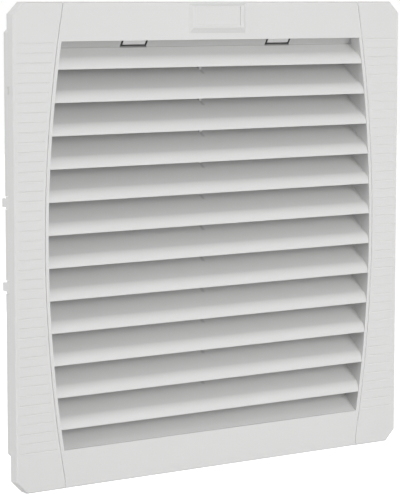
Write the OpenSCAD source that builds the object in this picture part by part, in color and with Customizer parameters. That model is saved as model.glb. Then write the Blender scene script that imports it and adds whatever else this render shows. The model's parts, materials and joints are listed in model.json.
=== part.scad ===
// Cabinet filter fan: a louvred flap on a panel frame, with a filter mat and an axial fan behind it.
// Millimetres. X is to the right, Y goes into the cabinet and Z is up.
// The origin is the middle of the flange's rear face, which lies on the cabinet panel.

/* [Panel frame] */
// Outer width of the tub that goes through the cut-out
tub_w = 291; // [280:0.5:300]
// Depth of the tub behind the flange
tub_depth = 29; // [27:0.5:36]
// Wall of the tub and the hood
wall = 2.5; // [2:0.1:3.5]
// Overlap of the flange beyond the tub
flange_lap = 14.5; // [13:0.5:20]
// Thickness of the flange
flange_t = 7.7; // [7:0.1:10]
// Thickness of the flange's plate behind the flap
plate_t = 2.5; // [2.3:0.1:3.5]
// Corner cut of the flange
corner_cut = 8; // [4:0.5:12]
// Rounding of the flange's front edges
edge_round = 1; // [0.6:0.1:3]
// Width of the seal behind the flange
seal_w = 7.5; // [5:0.5:9]

/* [Flap and louvres] */
// Distance from the tub's outer face to the seam at mid height
seam_inset = 8.5; // [8:0.1:12]
// Radius of the curved seams beside the flap
seam_radius = 866; // [700:1:1200]
// Width of the seam
seam_gap = 0.4; // [0.3:0.05:0.8]
// Rim between the seam and the louvre opening at mid height
rim_w = 2.5; // [2:0.1:6]
// Distance from the tub's outer face to the opening's top and bottom edges
open_inset = 11.1; // [10.5:0.1:16]
// Number of louvre blades
blade_count = 12; // [8:1:14]
// Thickness of a blade
blade_t = 1.6; // [1.2:0.1:2.4]
// Rise of a blade towards the back, in degrees
blade_slope = 35; // [28:1:42]
// Radius of a blade's curved lip
lip_radius = 10; // [6:0.5:14]

/* [Filter mat and hood] */
// Thickness of the filter mat
mat_t = 7.7; // [5:0.1:9]
// Depth of the hood behind the tub
hood_depth = 20; // [16:1:30]
// Half width of the hood's flat back
hood_back_half = 98; // [94:1:110]

/* [Fan] */
// Outer diameter of the fan frame
fan_d = 172; // [160:1:180]
// Depth of the fan frame
fan_depth = 51; // [48:1:56]
// Width of the fan's rim outside the throat
fan_rim = 10; // [9:0.5:13]
// Distance of the fan's screw holes from its outer edge
fan_hole_inset = 5; // [4.6:0.1:6]
// Number of impeller blades
impeller_blades = 7; // [5:1:9]

/* [Hidden] */
$fn = 96;
far = 400;
tub_half = tub_w / 2;
tub_in = tub_half - wall;
tub_cut = 5.5;
flange_half = tub_half + flange_lap;

// flap and seams
seam_half = tub_half - seam_inset;
flap_half = seam_half - seam_gap / 2;
frame_half = seam_half + seam_gap / 2;
flap_clear = 0.4;
flap_t = flange_t - plate_t - flap_clear;
flap_back = flap_t - flange_t;
band_skin = 2.5;
band_rib_pitch = 30;
band_rib_w = 1.6;

// louvre opening: its sides curve a little more than the seams
open_half = seam_half - rim_w;
open_radius = seam_radius - 31;
open_half_h = tub_half - open_inset;
block_half_h = open_half_h + 1.2;
aperture_half_h = tub_in - 3;

// hinge: the bottom edge of the flap is a bead round two pins, with a chin in front of it
bead_r = flap_t / 2;
hinge_y = bead_r + 0.1 - flange_t;
hinge_z = bead_r + 0.1 - flange_half;
hinge_pin_r = 1.25;
hinge_clear = 0.05;
chin_low = hinge_z - bead_r + 0.12;
chin_back = hinge_y + 0.5;
// the seams run straight beside the bead, so that the flap's lower corners pass the frame
foot_top = hinge_z + bead_r + 1.2;
foot_loss = seam_radius - sqrt(seam_radius * seam_radius - foot_top * foot_top);
seam_at_foot = seam_half - foot_loss;
pin_in_flap = 10.6;
pin_in_frame = 7.9;
bore_end_gap = 0.5;

// filter mat between the flap's cheeks and the grid
mat_gap = 0.2;
mat_back = tub_depth - wall - mat_gap;
mat_front = mat_back - mat_t;
mat_half = tub_in - 4;
mat_cut = 18;

// blades
lip_front = 0.5 - flange_t;
cheek_back = mat_front - 0.4;
blade_back = cheek_back - 0.7;
lip_drop = 18.16;
sill_gap = 13.7;
first_lip = open_half_h - lip_drop;
blade_pitch = (2 * open_half_h - lip_drop - sill_gap) / (blade_count - 1);
web_t = 2;
web_depth = 4.5;

// ribs of the side strips
rib_pitch = 6.35;
rib_depth = 0.25;
rib_half_w = 0.5;
rib_end = 23;
rib_count = floor((2 * flange_half - 2 * rib_end) / rib_pitch);
rib_margin = 2.5;

// shallow pry notch in each side of the flange
pry_z = flange_half - 56.7;
pry_w = 5.2;
pry_front = -4.6;
pry_back = -0.8;
pry_depth = 0.4;

// plinth at the top of the flap
plinth_t = 1.7;
plinth_face_half = 21;
plinth_base_half = 23.5;
plinth_low = open_half_h + 4.4;
plinth_high = flange_half - 0.3;
plinth_face_low = plinth_low + 3.6;
plinth_face_high = plinth_high - 2.4;
plinth_root = 1.2;
recess_half = 18.25;
recess_depth = 0.5;
recess_low = plinth_face_low + 1.6;
recess_high = plinth_face_high - 0.8;

// top wall of the louvre block, with two tongues that carry the snap hooks
top_wall_t = 2.2;
top_wall_front = 1.7 - flange_t;
tongue_y = 2.75;
tongue_run = 2.55;
tongue_drop = 4.1;
tongue_lean = atan2(tongue_run, tongue_drop);
tongue_slit = 1.5;
tongue_w = 17.9;
hook_x = 60;
hook_w = 12;
hook_t = 1.6;
hook_y = tongue_y + 1.85;
catch_y = 6.6;
catch_t = 1.6;
catch_w = 14;
catch_low = open_half_h + 2.6;
hook_front = catch_y + catch_t + 0.4;

// seal groove, an even distance from the tub
seal_gap = 3;
seal_groove = 2;
seal_proud = 1.5;

// mat grid, clamped in a rebate between the tub and the hood
grid_half = tub_in - 11;
grid_lap = 2.8;
grid_rim_t = 1.2;
grid_rim_half = grid_half + grid_lap;
grid_cut = 8;
grid_clear = 0.2;
grid_bars = 8;
grid_bar_w = 3;

// panel clips
clip_z = 28;
clip_w = 8.2;
clip_slot_w = 9;
clip_slot_front = 2.5;
clip_front = 4.2;
clip_tip = 2.3;
clip_nose = 1.4;
clip_ramp = 10.8;
clip_out = 0.2;
clip_in = 2.9;
clip_tail_w = 5.7;
clip_tail_t = 2.2;
clip_tail_back = tub_depth + 4.5;
clip_pin_x = tub_half - 2.1;
clip_pin_y = tub_depth - 5;
clip_pin_r = 1;
clip_pin_l = 16;
clip_clear = 0.05;
clip_eye_r = 2.15;
pad_depth = 4.2;
pad_w = 5;
pad_l = 6;

// hood
hood_front = tub_depth;
hood_back = tub_depth + hood_depth;
hood_rim_half = tub_half - 3.5;
hood_mouth_half = tub_half - 11.5;
hood_taper = (hood_mouth_half - hood_back_half) / hood_depth;
hood_skin = wall * sqrt(1 + hood_taper * hood_taper);
hood_screw_xz = tub_half - 8.5;
hood_screw_r = 1.5;
hood_screw_l = 9;
hood_pad_r = 4.6;
hood_pad_l = 9;

// fan, placed behind the hood
fan_front = hood_back;
fan_back = fan_front + fan_depth;
fan_r = fan_d / 2;
hole_r = fan_r - fan_hole_inset;
throat_r = fan_r - fan_rim;
throat_lead = 3;
fan_wall = 2.4;
fan_flange_t = 4.5;
fan_screw_r = 1.95;
fan_hole_r = 2.2;
fan_head_r = 3.9;
fan_head_h = 2.8;
insert_r = 3;
insert_l = 9;
boss_r = 5.2;
motor_plate_r = 44;
motor_plate_t = 5;
strut_w = 7;
strut_t = 6;

// finger guard: rings on arms that end in screw eyes
guard_y = fan_back + 1.6;
guard_ring_r = 1.1;
guard_arm_r = 1.25;
guard_pitch = 12;
guard_rings = 5;
guard_edge = 4;
guard_eye_r = 4.6;
guard_eye_t = 2.4;
guard_inner = throat_r - guard_edge - (guard_rings - 1) * guard_pitch;

// motor
can_front = fan_front + 8;
can_back = fan_back - 10;
can_r = 43.4;
can_wall = 2.2;
can_in_r = can_r - can_wall;
hub_r = can_r + 2.1;
tip_r = throat_r - 1.4;
shaft_r = 2.5;
bearing_r = 8;
bearing_w = 5;
bearing_land = 1.4;
bearing_shield = 0.4;
tube_r = 10.5;
tube_bore = 6.5;
tube_seat = 1.5;
front_bearing_y = can_front + 5;
rear_bearing_y = fan_back - 9.5;
washer_t = 0.8;
core_front = can_front + 13;
core_t = 14;
rotor_ring_t = 4.6;
air_gap = 0.6;
core_r = can_in_r - rotor_ring_t - air_gap;
yoke_r = 16;
tooth_w = 7;
teeth = 8;
shoe_t = 4;
shoe_in_r = core_r - shoe_t;
slot_w = 3;
winding_gap = 0.3;
winding_end = 5;
circlip_y = rear_bearing_y + bearing_w + 0.4;
circlip_t = 0.7;
circlip_r = 4.4;

// impeller blade: part of a cylinder, cut to a sickle outline
sheet_r = 70;
sheet_t = 2;
sheet_back = 76.3;
sheet_drop = 41.5;
sheet_y = fan_front + sheet_back;
sickle_r = 42;
sickle_out = 6.5;
sickle_drop = 24;
blade_root = 12;
sickle_chord = 32;

// terminal block on the hood's back, at the upper right
term_poles = 3;
term_pitch = 10;
term_x = hood_back_half - 36;
term_z = hood_back_half - 23;
term_w = term_poles * term_pitch + 2;
term_h = 17;
term_deep = 12;
term_step = 4;
term_tower = 18;
term_seat = 8;
term_screw_l = 6;
term_screw_r = 2.3;
term_edge = 6;
term_wire_r = 2;

// Extrudes a drawing of X and Z along Y.
module along_y(y0, y1) {
    translate([0, y1, 0]) rotate([90, 0, 0]) linear_extrude(y1 - y0) children();
}

// Extrudes a drawing of Y and Z along X.
module along_x(x0, x1) {
    translate([x0, 0, 0]) rotate([90, 0, 90]) linear_extrude(x1 - x0) children();
}

// Turns a drawing of radius and Y about the fan's axis.
module about_y() {
    rotate([-90, 0, 0]) rotate_extrude() children();
}

// A round bar or hole along Y.
module rod_y(x, z, r, y0, y1) {
    translate([x, y0, z]) rotate([-90, 0, 0]) cylinder(r = r, h = y1 - y0);
}

// Repeats its children on the left and the right.
module both_sides() {
    for (m = [0, 1]) mirror([m, 0, 0]) children();
}

// Repeats its children at the fan's four screws.
module at_fan_screws() {
    for (a = [45 : 90 : 315]) rotate([0, a, 0]) translate([hole_r, 0, 0]) children();
}

// Repeats its children at the hood's four screws.
module at_hood_screws() {
    for (x = [-1, 1], z = [-1, 1]) translate([x * hood_screw_xz, 0, z * hood_screw_xz]) children();
}

// A square with cut corners.
module cut_square(half, cut) {
    intersection() {
        square(2 * half, center = true);
        rotate(45) square((2 * half - cut) * sqrt(2), center = true);
    }
}

// The tub's outline moved outwards by a distance.
module tub_outline(out) {
    cut_square(tub_half + out, tub_cut + (2 - sqrt(2)) * out);
}

// A barrel outline: two arcs to the sides, flat at the top and the bottom.
module barrel(half, radius, half_h) {
    intersection() {
        translate([half - radius, 0]) rotate(180) circle(radius, $fn = 360);
        translate([radius - half, 0]) circle(radius, $fn = 360);
        square([2 * half + 2, 2 * half_h], center = true);
    }
}

// The seam's outline for a flap or a bed of this half width: a barrel with a straight foot.
module seam_outline(half) {
    foot_half = half - foot_loss;
    barrel(half, seam_radius, flange_half + 1);
    translate([-foot_half, -flange_half - 1]) square([2 * foot_half, flange_half + foot_top + 6]);
}

// Section of what a rounded front edge loses, for an edge at the height half.
// The circle crosses both faces at a small angle, so that no two surfaces only touch.
module edge_loss(half) {
    centre = 1.15 * edge_round;
    difference() {
        translate([-flange_t - 3, half - centre]) square(3 + centre);
        translate([centre - flange_t, half - centre]) circle(1.0085 * centre);
    }
}

// The whole flange before the flap is parted from it.
module flange_blank() {
    cut_half = (2 * flange_half - corner_cut) / sqrt(2);
    difference() {
        along_y(-flange_t, 0) cut_square(flange_half, corner_cut);
        for (a = [0 : 90 : 270]) rotate([0, a, 0]) {
            along_x(-far, far) edge_loss(flange_half);
            rotate([0, 45, 0]) along_x(-far, far) edge_loss(cut_half);
        }
    }
}

// Grooves between the ribs, on both side strips.
module rib_grooves() {
    along_x(-flange_half, flange_half)
        for (k = [0 : rib_count - 1])
            translate([-flange_t, (k - (rib_count - 1) / 2) * rib_pitch])
                polygon([
                    [-1, rib_half_w], [0, rib_half_w], [rib_depth, 0], [0, -rib_half_w], [-1, -rib_half_w]
                ]);
}

// One slot for a panel clip, on the left at the height z.
module clip_slot(z) {
    translate([-tub_half - 2, clip_slot_front, z - clip_slot_w / 2])
        cube([clip_in + 4, tub_depth, clip_slot_w]);
}

// The two pads that hold a clip's pin, on the left at the height z.
module clip_pads(z) {
    for (s = [-1, 1])
        translate([-tub_in - 1, clip_pin_y - pad_l / 2, z + s * (clip_slot_w / 2 + 2) - pad_w / 2])
            cube([pad_depth, pad_l, pad_w]);
}

module clip_pin(z) {
    translate([-clip_pin_x, clip_pin_y, z - clip_pin_l / 2]) cylinder(r = clip_pin_r, h = clip_pin_l);
}

// A bore or pin of the hinge, on the right, from its start and end measured from the seam.
module hinge_rod(r, inside, outside) {
    translate([seam_at_foot - inside, hinge_y, hinge_z]) rotate([0, 90, 0])
        cylinder(r = r, h = inside + outside);
}

// The flange with the flap's bed, the aperture, the ribs and the pry notches.
module frame_flange() {
    difference() {
        flange_blank();
        both_sides() translate([flange_half - pry_depth, pry_front, pry_z - pry_w / 2])
            cube([1, pry_back - pry_front, pry_w]);
        along_y(-flange_t - 1, -plate_t) seam_outline(frame_half);
        along_y(-plate_t - 1, 1) barrel(frame_half, seam_radius, aperture_half_h);
        intersection() {
            rib_grooves();
            along_y(-flange_t - 1, 0) difference() {
                square([2 * (flange_half - rib_margin), 2 * flange_half], center = true);
                barrel(frame_half + rib_margin, seam_radius, flange_half + 1);
            }
        }
    }
}

// The tub's walls with the rear ledge.
module frame_tub() {
    along_y(-0.5, tub_depth) difference() {
        cut_square(tub_half, tub_cut);
        cut_square(tub_in, tub_cut);
    }
    along_y(tub_depth - wall, tub_depth) difference() {
        cut_square(tub_half - 1, tub_cut);
        square(2 * grid_half, center = true);
    }
}

module mounting_frame() color([0.86, 0.86, 0.85]) difference() {
    union() {
        frame_flange();
        frame_tub();
        at_hood_screws() rod_y(0, 0, hood_pad_r, tub_depth - hood_pad_l, tub_depth - 1);
        both_sides() for (z = [-clip_z, clip_z]) clip_pads(z);
        // catches over the snap hooks
        for (x = [-hook_x, hook_x])
            translate([x - catch_w / 2, catch_y, catch_low]) cube([catch_w, catch_t, tub_in + 1 - catch_low]);
    }
    // rebate for the mat grid
    along_y(tub_depth - grid_rim_t, tub_depth + 1) cut_square(grid_rim_half + grid_clear, grid_cut);
    both_sides() for (z = [-clip_z, clip_z]) {
        clip_slot(z);
        clip_pin(z);
    }
    at_hood_screws() rod_y(0, 0, hood_screw_r, tub_depth - hood_screw_l + wall - 0.5, tub_depth + 1);
    // seal groove
    along_y(-seal_groove, 1) difference() {
        tub_outline(seal_gap + seal_w);
        tub_outline(seal_gap);
    }
    both_sides() hinge_rod(hinge_pin_r + hinge_clear, seam_gap + 2, pin_in_frame + bore_end_gap);
}

module mat_grid() color([0.84, 0.84, 0.83]) {
    along_y(tub_depth - grid_rim_t, tub_depth) difference() {
        cut_square(grid_rim_half, grid_cut);
        square(2 * grid_half - 3, center = true);
    }
    along_y(tub_depth - wall, tub_depth - 0.2) {
        difference() {
            square(2 * (grid_half - grid_clear), center = true);
            square(2 * grid_half - 5, center = true);
        }
        for (k = [1 : grid_bars], a = [0, 90]) rotate(a)
            translate([(2 * k / (grid_bars + 1) - 1) * grid_half, 0])
                square([grid_bar_w, 2 * grid_half - 4], center = true);
    }
}

module panel_gasket() color([0.16, 0.16, 0.17]) along_y(-seal_groove, seal_proud) difference() {
    tub_outline(seal_gap + seal_w);
    tub_outline(seal_gap);
}

module filter_mat() color([0.9, 0.91, 0.93]) along_y(mat_front, mat_back) cut_square(mat_half, mat_cut);

// Section of one blade from its lower edge: a curved lip, then a slope that rises to the back.
module blade_section() {
    turn = 90 - blade_slope;
    lap = turn + 9;
    translate([lip_front + lip_radius, 0]) {
        intersection() {
            difference() {
                circle(lip_radius);
                circle(lip_radius - blade_t);
            }
            polygon([[0, 0], [-2 * lip_radius, 0], 2 * lip_radius * [-cos(lap), sin(lap)]]);
        }
        rotate(180 - turn) translate([lip_radius - blade_t + 0.1, -60]) square([blade_t - 0.15, 60]);
    }
}

// Section of the wall that closes the top bay. The tongues are cut from it.
module top_wall_section() {
    fold = tongue_y + tongue_run;
    translate([0, open_half_h]) polygon([
        [top_wall_front, 0], [tongue_y, 0], [fold, -tongue_drop], [fold + 0.7, -tongue_drop - 0.9],
        [fold + 2.3, -tongue_drop + 0.5], [hook_y, top_wall_t], [top_wall_front, top_wall_t]
    ]);
}

// Section of the sill under the lowest blade, which rises as the blades do.
module sill_section() {
    front = 1.5 - flange_t;
    rise = (blade_back - front) * tan(blade_slope);
    translate([0, -open_half_h]) polygon([
        [front, 0], [blade_back, rise], [blade_back, rise - 2], [front + 3.2, -2.7], [front, -2.7]
    ]);
}

// Section of a snap hook behind the top wall.
module hook_section() {
    translate([0, open_half_h]) polygon([
        [hook_y, -2], [hook_front + hook_t, -2], [hook_front + hook_t, 2.8], [hook_front + 1, 3.6],
        [hook_front, 3.6], [hook_front, -0.2], [hook_y, -0.2]
    ]);
}

// Slits that free a tongue in the top wall.
module tongue_slits() {
    translate([0, tongue_y + tongue_run, open_half_h - tongue_drop]) rotate([tongue_lean, 0, 0]) {
        translate([-tongue_w / 2 - tongue_slit, -2, 0]) cube([tongue_w + 2 * tongue_slit, 5.2, tongue_slit]);
        for (s = [-1, 1])
            translate([s * (tongue_w + tongue_slit) / 2 - tongue_slit / 2, -2, 0])
                cube([tongue_slit, 5.2, 5]);
    }
}

// Raised plinth at the top of the flap, with a bare recess.
module plinth() {
    face = -flange_t - plinth_t;
    root = -flange_t + plinth_root;
    difference() {
        intersection() {
            along_x(-plinth_base_half, plinth_base_half) polygon([
                [root - 0.2, plinth_low - 1.2], [-flange_t, plinth_low], [face, plinth_face_low],
                [face, plinth_face_high], [root, plinth_high], [root, plinth_low - 1.2]
            ]);
            linear_extrude(far) polygon([
                [-plinth_base_half, root], [-plinth_base_half, -flange_t], [-plinth_face_half, face],
                [plinth_face_half, face], [plinth_base_half, -flange_t], [plinth_base_half, root]
            ]);
        }
        translate([-recess_half, face - 1, recess_low])
            cube([2 * recess_half, 1 + recess_depth, recess_high - recess_low]);
    }
}

// Hollows in the back of the two bands, with stiffening ribs between them.
module band_hollows() {
    band_low = open_half_h + 4.8;
    along_y(band_skin - flange_t, 0) difference() {
        barrel(flap_half - 3, seam_radius, flange_half - 2.5);
        square([2 * flap_half, 2 * band_low], center = true);
        translate([-flap_half, -flange_half - 10]) square([2 * flap_half, 17]);
        for (k = [-3 : 3])
            translate([k * band_rib_pitch - band_rib_w / 2, -flange_half])
                square([band_rib_w, 2 * flange_half]);
    }
}

// Section of the flap from the chin up, without the bead.
module flap_section() {
    polygon([
        [-far, chin_low], [chin_back, chin_low], [chin_back, hinge_z],
        [flap_back, hinge_z], [flap_back, far], [-far, far]
    ]);
}

// The flat bands of the flap round the louvre opening, with the bead at the hinge.
module flap_bands() {
    difference() {
        intersection() {
            along_y(-flange_t - 1, 0) seam_outline(flap_half);
            union() {
                intersection() {
                    flange_blank();
                    along_x(-far, far) flap_section();
                }
                translate([-flange_half, hinge_y, hinge_z]) rotate([0, 90, 0])
                    cylinder(r = bead_r, h = 2 * flange_half);
            }
        }
        along_y(-flange_t - 1, 0) barrel(open_half, open_radius, open_half_h);
        band_hollows();
    }
}

// The block behind the opening: cheeks, blades, sill, web and top wall.
module louvre_block() {
    along_y(flap_back - 0.5, cheek_back) difference() {
        barrel(flap_half, seam_radius, block_half_h);
        barrel(open_half, open_radius, block_half_h + 1);
    }
    intersection() {
        along_y(-flange_t, blade_back) barrel(open_half + 0.8, open_radius, block_half_h);
        union() {
            along_x(-seam_half, seam_half) {
                for (k = [0 : blade_count - 1]) translate([0, first_lip - k * blade_pitch]) blade_section();
                sill_section();
            }
            translate([-web_t / 2, blade_back - web_depth - 0.5, 9.4 - open_half_h])
                cube([web_t, web_depth, 2 * open_half_h - 10.8]);
        }
    }
    intersection() {
        along_y(-flange_t, blade_back) barrel(open_half + 0.8, open_radius, block_half_h + 5);
        along_x(-seam_half, seam_half) top_wall_section();
    }
}

module front_cover() color([0.87, 0.87, 0.86]) difference() {
    union() {
        flap_bands();
        plinth();
        louvre_block();
        for (x = [-hook_x, hook_x]) along_x(x - hook_w / 2, x + hook_w / 2) hook_section();
    }
    for (x = [-hook_x, hook_x]) translate([x, 0, 0]) tongue_slits();
    both_sides() hinge_rod(hinge_pin_r, pin_in_flap, pin_in_frame + bore_end_gap);
}

module hinge_pin_left() color([0.75, 0.76, 0.78])
    mirror([1, 0, 0]) hinge_rod(hinge_pin_r, pin_in_flap, pin_in_frame);

module hinge_pin_right() color([0.75, 0.76, 0.78]) hinge_rod(hinge_pin_r, pin_in_flap, pin_in_frame);

// One panel clip on the left: a lever with a ramped hook, a pin eye and a tail.
module panel_clip(z) {
    difference() {
        union() {
            translate([-tub_half, 0, z - clip_w / 2]) linear_extrude(clip_w) {
                polygon([
                    [clip_out, tub_depth - 0.5], [clip_out, clip_front + clip_ramp],
                    [-clip_tip, clip_front + clip_nose], [-clip_tip, clip_front],
                    [clip_in - 0.6, clip_front], [clip_in, clip_pin_y - 4], [clip_in, tub_depth - 0.5]
                ]);
                translate([tub_half - clip_pin_x, clip_pin_y]) circle(clip_eye_r);
            }
            translate([clip_out - tub_half, tub_depth - 2, z - clip_tail_w / 2])
                cube([clip_tail_t, clip_tail_back - tub_depth + 2, clip_tail_w]);
        }
        translate([-clip_pin_x, clip_pin_y, z - clip_pin_l / 2])
            cylinder(r = clip_pin_r + clip_clear, h = clip_pin_l);
    }
}

module panel_clip_left_upper() color([0.3, 0.31, 0.32]) panel_clip(clip_z);

module panel_clip_left_lower() color([0.3, 0.31, 0.32]) panel_clip(-clip_z);

module panel_clip_right_upper() color([0.3, 0.31, 0.32]) mirror([1, 0, 0]) panel_clip(clip_z);

module panel_clip_right_lower() color([0.3, 0.31, 0.32]) mirror([1, 0, 0]) panel_clip(-clip_z);

module clip_pins() color([0.75, 0.76, 0.78]) both_sides() for (z = [-clip_z, clip_z]) clip_pin(z);

// A square frustum along Y, from half0 at y0 to half1 at y1.
module frustum(y0, half0, y1, half1) {
    intersection() {
        along_x(-far, far) polygon([[y0, -half0], [y1, -half1], [y1, half1], [y0, half0]]);
        linear_extrude(far, center = true) polygon([[-half0, y0], [-half1, y1], [half1, y1], [half0, y0]]);
    }
}

module fan_hood() color([0.84, 0.84, 0.83]) difference() {
    union() {
        difference() {
            union() {
                along_y(hood_front, hood_front + wall) cut_square(hood_rim_half, tub_cut);
                frustum(hood_front + 0.5, hood_mouth_half - 0.5 * hood_taper, hood_back, hood_back_half);
            }
            frustum(
                hood_front - 1, hood_mouth_half + hood_taper - hood_skin,
                hood_back - wall, hood_back_half + wall * hood_taper - hood_skin
            );
        }
        at_fan_screws() rod_y(0, 0, boss_r, hood_back - insert_l - 2, hood_back - 1);
    }
    rod_y(0, 0, throat_r + 0.8, hood_back - wall - 0.5, hood_back + 1);
    at_fan_screws() rod_y(0, 0, insert_r, hood_back - insert_l, hood_back + 1);
    at_hood_screws() rod_y(0, 0, hood_screw_r + 0.25, hood_front - 1, hood_front + wall + 1);
}

// A screw along Y: its head lies on the face at y and its shank runs forwards.
module screw_y(y, shank_r, length, head_r, head_h) {
    cross_w = 0.9;
    difference() {
        union() {
            rod_y(0, 0, shank_r, y - length, y + 0.1);
            rod_y(0, 0, head_r, y, y + head_h);
        }
        translate([0, y + head_h, 0]) {
            cube([1.2 * head_r, 2.4, cross_w], center = true);
            cube([cross_w, 2.4, 1.2 * head_r], center = true);
        }
    }
}

module hood_screws() color([0.75, 0.76, 0.78]) at_hood_screws()
    screw_y(hood_front + wall, hood_screw_r, hood_screw_l, 2.9, 2.2);

module fan_frame() color([0.13, 0.13, 0.14]) difference() {
    wall_r = throat_r + fan_wall;
    union() {
        about_y() polygon([
            [fan_r, fan_front], [fan_r, fan_front + fan_flange_t], [wall_r, fan_front + fan_flange_t],
            [wall_r, fan_back - fan_flange_t], [fan_r, fan_back - fan_flange_t], [fan_r, fan_back],
            [throat_r + throat_lead, fan_back], [throat_r, fan_back - 8], [throat_r, fan_front + 7],
            [throat_r + 1, fan_front + 3], [throat_r + throat_lead, fan_front]
        ]);
        rod_y(0, 0, motor_plate_r, fan_back - motor_plate_t, fan_back);
        for (a = [0 : 90 : 270]) rotate([0, a, 0])
            translate([motor_plate_r - 2, fan_back - strut_t, -strut_w / 2])
                cube([throat_r - motor_plate_r + 3, strut_t - 0.4, strut_w]);
    }
    at_fan_screws() rod_y(0, 0, fan_hole_r, fan_front - 1, fan_back + 1);
    rod_y(0, 0, tube_r, fan_back - strut_t, fan_back - tube_seat);
}

module fan_inserts() color([0.78, 0.62, 0.32]) at_fan_screws() difference() {
    rod_y(0, 0, insert_r, hood_back - insert_l, hood_back);
    rod_y(0, 0, fan_screw_r + 0.03, hood_back - insert_l - 1, hood_back + 1);
}

module fan_screws() color([0.75, 0.76, 0.78]) at_fan_screws()
    screw_y(fan_back + guard_eye_t, fan_screw_r, fan_depth + insert_l + 0.4, fan_head_r, fan_head_h);

module finger_guard() color([0.72, 0.73, 0.75]) {
    arm_in = guard_inner - 3;
    arm_out = hole_r - guard_eye_r + 1.4;
    at_fan_screws() {
        difference() {
            rod_y(0, 0, guard_eye_r, fan_back, fan_back + guard_eye_t);
            rod_y(0, 0, fan_hole_r + 0.1, fan_back - 1, fan_back + guard_eye_t + 1);
        }
        translate([arm_in - hole_r, guard_y, 0]) rotate([0, 90, 0])
            cylinder(r = guard_arm_r, h = arm_out - arm_in);
    }
    for (k = [0 : guard_rings - 1]) about_y()
        translate([guard_inner + k * guard_pitch, guard_y + 1.7]) circle(guard_ring_r);
}

module bearing_tube() color([0.8, 0.66, 0.38]) {
    front_seat = front_bearing_y + bearing_w + washer_t;
    tube_back = fan_back - tube_seat;
    about_y() polygon([
        [tube_r, front_bearing_y - 0.2], [tube_r, tube_back], [bearing_r, tube_back],
        [bearing_r, rear_bearing_y], [tube_bore, rear_bearing_y], [tube_bore, front_seat],
        [bearing_r, front_seat], [bearing_r, front_bearing_y - 0.2]
    ]);
}

// A ball bearing with shields set into both faces.
module bearing(y) {
    in_r = shaft_r + 0.03;
    race_in = in_r + 1.2;
    race_out = bearing_r - bearing_land;
    end = y + bearing_w;
    about_y() polygon([
        [in_r, y], [race_in, y], [race_in, y + bearing_shield], [race_out, y + bearing_shield], [race_out, y],
        [bearing_r, y], [bearing_r, end], [race_out, end], [race_out, end - bearing_shield],
        [race_in, end - bearing_shield], [race_in, end], [in_r, end]
    ]);
}

module front_bearing() color([0.7, 0.71, 0.73]) bearing(front_bearing_y);

module rear_bearing() color([0.7, 0.71, 0.73]) bearing(rear_bearing_y);

module preload_washer() color([0.6, 0.61, 0.63]) about_y()
    translate([tube_bore + 0.2, front_bearing_y + bearing_w]) square([bearing_r - tube_bore - 0.4, washer_t]);

// The stator's teeth, seen along the axis.
module tooth_bars(width) {
    for (k = [0 : teeth - 1]) rotate(k * 360 / teeth)
        translate([yoke_r - 2, -width / 2]) square([shoe_in_r - yoke_r + 3, width]);
}

module stator_core() color([0.45, 0.46, 0.48]) along_y(core_front, core_front + core_t) difference() {
    circle(core_r);
    circle(tube_r);
    difference() {
        circle(shoe_in_r);
        circle(yoke_r);
        tooth_bars(tooth_w);
    }
    for (k = [0 : teeth - 1]) rotate((k + 0.5) * 360 / teeth)
        translate([shoe_in_r - 1, -slot_w / 2]) square([shoe_t + 2, slot_w]);
}

module stator_windings() color([0.62, 0.34, 0.16]) difference() {
    about_y() translate([yoke_r + winding_gap, core_front - winding_end])
        square([shoe_in_r - yoke_r - 2 * winding_gap, core_t + 2 * winding_end]);
    along_y(core_front - winding_gap, core_front + core_t + winding_gap) tooth_bars(tooth_w + 0.5);
}

module rotor_shaft() color([0.75, 0.76, 0.78]) {
    groove_r = shaft_r - 0.4;
    groove_y = circlip_y - 0.05;
    groove_end = circlip_y + circlip_t + 0.05;
    about_y() polygon([
        [0, can_front - 0.8], [groove_r, can_front - 0.8], [shaft_r, can_front - 0.4], [shaft_r, groove_y],
        [groove_r, groove_y], [groove_r, groove_end], [shaft_r, groove_end],
        [shaft_r, fan_back - tube_seat - 0.7], [0, fan_back - tube_seat - 0.7]
    ]);
}

module rotor_can() color([0.2, 0.2, 0.21]) about_y() polygon([
    [shaft_r, can_front], [can_r - 3, can_front], [can_r, can_front + 3], [can_r, can_back],
    [can_in_r, can_back], [can_in_r, can_front + 3.4], [can_in_r - 1.6, can_front + 2],
    [tube_bore, can_front + 2], [tube_bore, can_front + 4.3], [shaft_r, can_front + 4.3]
]);

module rotor_core() color([0.55, 0.56, 0.58]) about_y()
    translate([core_r + air_gap, core_front - 1]) square([rotor_ring_t, core_t + 2]);

// One impeller blade: a curved sheet with a swept leading and trailing edge.
module impeller_blade() {
    intersection() {
        along_x(hub_r - blade_root, tip_r + 2) translate([sheet_y, -sheet_drop]) difference() {
            circle(sheet_r + sheet_t / 2);
            circle(sheet_r - sheet_t / 2);
        }
        along_y(fan_front, sheet_y) translate([hub_r + sickle_out, -sickle_drop]) difference() {
            circle(sickle_r);
            translate([0, -sickle_chord]) circle(sickle_r);
        }
        about_y() translate([hub_r - 1, fan_front]) square([tip_r - hub_r + 1, fan_depth]);
    }
}

module impeller() color([0.11, 0.11, 0.12]) {
    bore = can_r + 0.02;
    about_y() polygon([
        [bore, can_front + 3.5], [hub_r - 0.6, can_front + 3.5], [hub_r, can_front + 4.5],
        [hub_r, can_back - 1], [bore, can_back - 1]
    ]);
    for (k = [0 : impeller_blades - 1]) rotate([0, k * 360 / impeller_blades, 0]) impeller_blade();
}

module shaft_circlip() color([0.3, 0.31, 0.33]) along_y(circlip_y, circlip_y + circlip_t) difference() {
    circle(circlip_r);
    circle(shaft_r - 0.38);
    translate([0, -1.1]) square([6, 2.2]);
}

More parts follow.
